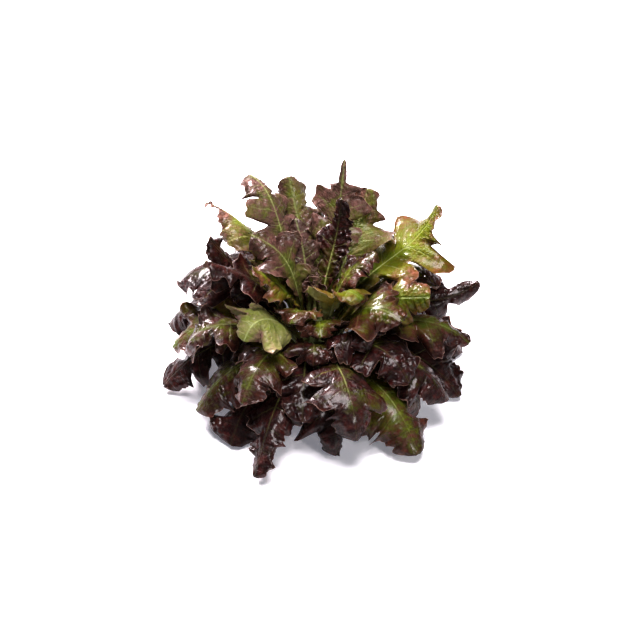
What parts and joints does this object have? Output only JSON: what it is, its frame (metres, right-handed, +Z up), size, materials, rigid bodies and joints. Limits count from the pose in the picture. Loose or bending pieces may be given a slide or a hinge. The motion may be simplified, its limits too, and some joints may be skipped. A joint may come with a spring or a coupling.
{
  "type": "oak leaf lettuce",
  "caption": "Head of red oak leaf lettuce: waved, lobed leaves in rings round a short cut stem, standing on its cut end.",
  "frame": {"origin": "middle of the stem's flat cut face, which lies on the surface that the head stands on", "axes": "+Z up along the stem, -Y towards the front of the head, +X to its right"},
  "size_m": [0.291, 0.3007, 0.1779],
  "materials": {
    "outer_leaves": "glossy, dark purple-brown",
    "middle_leaves": "glossy, red-brown to olive",
    "upper_leaves": "satin, olive green with purple lobes",
    "inner_leaves": "satin, green with red-brown edges",
    "heart": "satin, reddish with pale edges",
    "stem": "matte, pale green, moist where cut"
  },
  "bodies": {
    "root": {"stem": "stem", "heart": "heart", "outer_leaf_01": "outer_leaves", "outer_leaf_02": "outer_leaves", "outer_leaf_03": "outer_leaves", "outer_leaf_04": "outer_leaves", "outer_leaf_05": "outer_leaves", "outer_leaf_06": "outer_leaves", "outer_leaf_07": "outer_leaves", "outer_leaf_08": "outer_leaves", "outer_leaf_09": "outer_leaves", "outer_leaf_10": "outer_leaves", "outer_leaf_11": "outer_leaves", "outer_leaf_12": "outer_leaves", "outer_leaf_13": "outer_leaves", "outer_leaf_14": "outer_leaves", "middle_leaf_01": "middle_leaves", "middle_leaf_02": "middle_leaves", "middle_leaf_03": "middle_leaves", "middle_leaf_04": "middle_leaves", "middle_leaf_05": "middle_leaves", "middle_leaf_06": "middle_leaves", "middle_leaf_07": "middle_leaves", "middle_leaf_08": "middle_leaves", "middle_leaf_09": "middle_leaves", "middle_leaf_10": "middle_leaves", "middle_leaf_11": "middle_leaves", "middle_leaf_12": "middle_leaves", "middle_leaf_13": "middle_leaves", "upper_leaf_01": "upper_leaves", "upper_leaf_02": "upper_leaves", "upper_leaf_03": "upper_leaves", "upper_leaf_04": "upper_leaves", "upper_leaf_05": "upper_leaves", "upper_leaf_06": "upper_leaves", "upper_leaf_07": "upper_leaves", "upper_leaf_08": "upper_leaves", "upper_leaf_09": "upper_leaves", "upper_leaf_10": "upper_leaves", "upper_leaf_11": "upper_leaves", "upper_leaf_12": "upper_leaves", "upper_leaf_13": "upper_leaves", "inner_leaf_01": "inner_leaves", "inner_leaf_02": "inner_leaves", "inner_leaf_03": "inner_leaves", "inner_leaf_04": "inner_leaves", "inner_leaf_05": "inner_leaves", "inner_leaf_06": "inner_leaves", "inner_leaf_07": "inner_leaves", "inner_leaf_08": "inner_leaves"}
  },
  "joints": []
}
